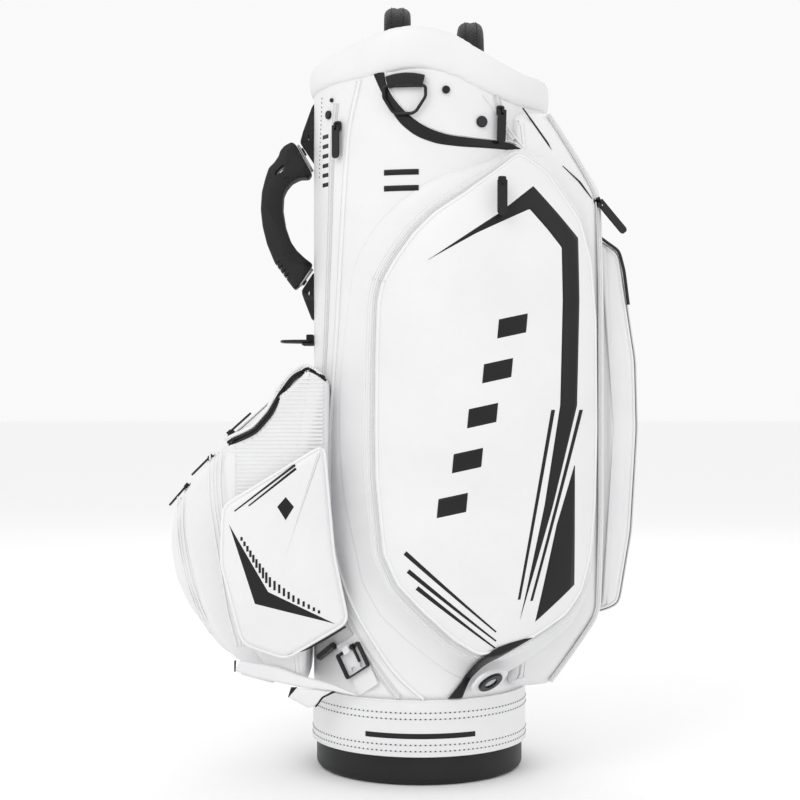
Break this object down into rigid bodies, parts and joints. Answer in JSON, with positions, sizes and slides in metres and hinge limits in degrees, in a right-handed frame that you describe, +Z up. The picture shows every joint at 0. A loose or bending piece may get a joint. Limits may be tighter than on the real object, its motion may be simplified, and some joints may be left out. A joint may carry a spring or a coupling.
{
  "type": "golf staff bag",
  "caption": "Upright golf staff bag with padded oval collar, six-way divided mouth, zipped side pockets, stacked ball pockets, carry grip, lift handles, rings and a shoulder strap",
  "frame": {"origin": "centre of the round base on the floor", "axes": "+Z up along the bag, +X towards the garment pocket, -X towards the spine with the carry grip and ball pockets, -Y towards the side with the buckle"},
  "size_m": [0.5489, 0.3674, 0.8969],
  "materials": {
    "leather_white": "fine-grain white synthetic leather",
    "band_white": "smooth white synthetic leather over padding",
    "strap_white": "white strap leather with black backing",
    "base_black": "satin black moulded plastic",
    "divider_black": "black moulded plastic",
    "lining_black": "soft black lining fabric",
    "rod": "glass fibre rod",
    "handle_black": "soft-touch black moulding",
    "webbing_black": "black woven webbing",
    "tape_white": "pale zip tape and coil",
    "hardware_black": "glossy black plated metal",
    "leather_black": "glossy black synthetic leather"
  },
  "bodies": {
    "bag": {"apparel_pocket_far": "leather_white", "apparel_pocket_near": "leather_white", "ball_pocket_inner": "leather_white", "ball_pocket_middle": "leather_white", "ball_pocket_outer": "leather_white", "base_band": "band_white", "base_cup": "base_black", "base_pad": "lining_black", "body_shell": "leather_white", "buckle_belt": "strap_white", "buckle_keeper": "webbing_black", "divider_cross_bars": "divider_black", "divider_cross_panels": "lining_black", "divider_long_bars": "divider_black", "divider_long_panels": "lining_black", "divider_rim": "divider_black", "eyelet": "hardware_black", "eyelet_tab": "leather_black", "garment_pocket": "leather_white", "grip_webbing": "webbing_black", "hood_snaps": "hardware_black", "lift_handle_left": "handle_black", "lift_handle_right": "handle_black", "lower_strap": "strap_white", "shoulder_strap": "strap_white", "side_pocket": "leather_white", "spine_ring_tab": "webbing_black", "stay_rods": "rod", "strap_pad": "strap_white", "top_collar": "band_white", "top_ring_tabs": "webbing_black", "valuables_pouch_far": "leather_white", "valuables_pouch_near": "leather_white", "zip_tape_apparel": "tape_white", "zip_tape_balls": "tape_white", "zip_tape_body": "tape_white", "zip_tape_garment": "tape_white", "zip_tape_upper": "tape_white"},
    "slider_body": {"slider_body": "hardware_black"},
    "pull_body": {"pull_body": "hardware_black"},
    "slider_upper": {"slider_upper": "hardware_black"},
    "pull_upper": {"pull_upper": "hardware_black"},
    "slider_apparel_near": {"slider_apparel_near": "hardware_black"},
    "pull_apparel_near": {"pull_apparel_near": "hardware_black"},
    "slider_apparel_far": {"slider_apparel_far": "hardware_black"},
    "pull_apparel_far": {"pull_apparel_far": "hardware_black"},
    "slider_garment": {"slider_garment": "hardware_black"},
    "pull_garment": {"pull_garment": "hardware_black"},
    "slider_ball_inner": {"slider_ball_inner": "hardware_black"},
    "pull_ball_inner": {"pull_ball_inner": "hardware_black"},
    "slider_ball_middle": {"slider_ball_middle": "hardware_black"},
    "pull_ball_middle": {"pull_ball_middle": "hardware_black"},
    "slider_ball_outer": {"slider_ball_outer": "hardware_black"},
    "pull_ball_outer": {"pull_ball_outer": "hardware_black"},
    "top_ring_near": {"top_ring_near": "hardware_black"},
    "top_ring_far": {"top_ring_far": "hardware_black"},
    "spine_ring": {"spine_ring": "hardware_black"},
    "carry_grip": {"carry_grip": "handle_black"},
    "buckle_frame": {"buckle_frame": "hardware_black"},
    "buckle_prong": {"buckle_prong": "hardware_black"}
  },
  "joints": [
    {"name": "slide_body", "type": "slide", "parent": "bag", "child": "slider_body", "axis": [-0.0042, -0.0009, -1], "range_m": [0, 0.22]},
    {"name": "swing_body", "type": "hinge", "parent": "slider_body", "child": "pull_body", "pos_m": [-0.09676, -0.08706, 0.74802], "axis": [-0.6927, 0.7212, 0.0022], "range_deg": [0, 150]},
    {"name": "slide_upper", "type": "slide", "parent": "bag", "child": "slider_upper", "axis": [-0.0264, -0.0012, -0.9997], "range_m": [0, 0.006]},
    {"name": "swing_upper", "type": "hinge", "parent": "slider_upper", "child": "pull_upper", "pos_m": [0.09251, -0.1086, 0.76191], "axis": [-0.8466, -0.5318, 0.023], "range_deg": [0, 120]},
    {"name": "slide_apparel_near", "type": "slide", "parent": "bag", "child": "slider_apparel_near", "axis": [-0.8452, -0.0338, -0.5334], "range_m": [0, 0.074]},
    {"name": "swing_apparel_near", "type": "hinge", "parent": "slider_apparel_near", "child": "pull_apparel_near", "pos_m": [0.0882, -0.18145, 0.672], "axis": [-0.9992, -0.04, 0], "range_deg": [0, 150]},
    {"name": "slide_apparel_far", "type": "slide", "parent": "bag", "child": "slider_apparel_far", "axis": [-0.8452, 0.0338, -0.5334], "range_m": [0, 0.074]},
    {"name": "swing_apparel_far", "type": "hinge", "parent": "slider_apparel_far", "child": "pull_apparel_far", "pos_m": [0.0882, 0.18145, 0.672], "axis": [0.9992, -0.04, 0], "range_deg": [0, 150]},
    {"name": "slide_garment", "type": "slide", "parent": "bag", "child": "slider_garment", "axis": [0, 0, -1], "range_m": [0, 0.4]},
    {"name": "swing_garment", "type": "hinge", "parent": "slider_garment", "child": "pull_garment", "pos_m": [0.20536, -0.09236, 0.66], "axis": [-0.5965, -0.5965, -0.5369], "range_deg": [0, 110]},
    {"name": "slide_ball_inner", "type": "slide", "parent": "bag", "child": "slider_ball_inner", "axis": [0.7433, 0, 0.669], "range_m": [0, 0.052]},
    {"name": "swing_ball_inner", "type": "hinge", "parent": "slider_ball_inner", "child": "pull_ball_inner", "pos_m": [-0.21747, -0.095, 0.39714], "axis": [0, -1, 0], "range_deg": [0, 150]},
    {"name": "slide_ball_middle", "type": "slide", "parent": "bag", "child": "slider_ball_middle", "axis": [0, 1, 0], "range_m": [0, 0.1]},
    {"name": "swing_ball_middle", "type": "hinge", "parent": "slider_ball_middle", "child": "pull_ball_middle", "pos_m": [-0.24571, -0.04, 0.36771], "axis": [0, 1, 0], "range_deg": [0, 140]},
    {"name": "slide_ball_outer", "type": "slide", "parent": "bag", "child": "slider_ball_outer", "axis": [0, 1, 0], "range_m": [0, 0.08]},
    {"name": "swing_ball_outer", "type": "hinge", "parent": "slider_ball_outer", "child": "pull_ball_outer", "pos_m": [-0.2749, -0.03, 0.33309], "axis": [0, 1, 0], "range_deg": [0, 140]},
    {"name": "ring_near_swing", "type": "hinge", "parent": "bag", "child": "top_ring_near", "pos_m": [-0.01787, -0.12682, 0.78602], "axis": [-0.9818, 0.1896, 0.0128], "range_deg": [0, 100]},
    {"name": "ring_far_swing", "type": "hinge", "parent": "bag", "child": "top_ring_far", "pos_m": [-0.01787, 0.12682, 0.78602], "axis": [0.9818, 0.1896, -0.0128], "range_deg": [0, 60]},
    {"name": "spine_ring_lift", "type": "hinge", "parent": "bag", "child": "spine_ring", "pos_m": [-0.1306, 0, 0.504], "axis": [0, 1, 0], "range_deg": [0, 75]},
    {"name": "grip_swing", "type": "hinge", "parent": "bag", "child": "carry_grip", "pos_m": [-0.139, 0, 0.652], "axis": [0, 0, 1], "range_deg": [-50, 50]},
    {"name": "buckle_lift", "type": "hinge", "parent": "bag", "child": "buckle_frame", "pos_m": [-0.08228, -0.10308, 0.15069], "axis": [-0.6949, 0.4907, -0.5256], "range_deg": [0, 60]},
    {"name": "prong_lift", "type": "hinge", "parent": "buckle_frame", "child": "buckle_prong", "pos_m": [-0.08228, -0.10308, 0.15069], "axis": [-0.6949, 0.4907, -0.5256], "range_deg": [0, 80]}
  ]
}
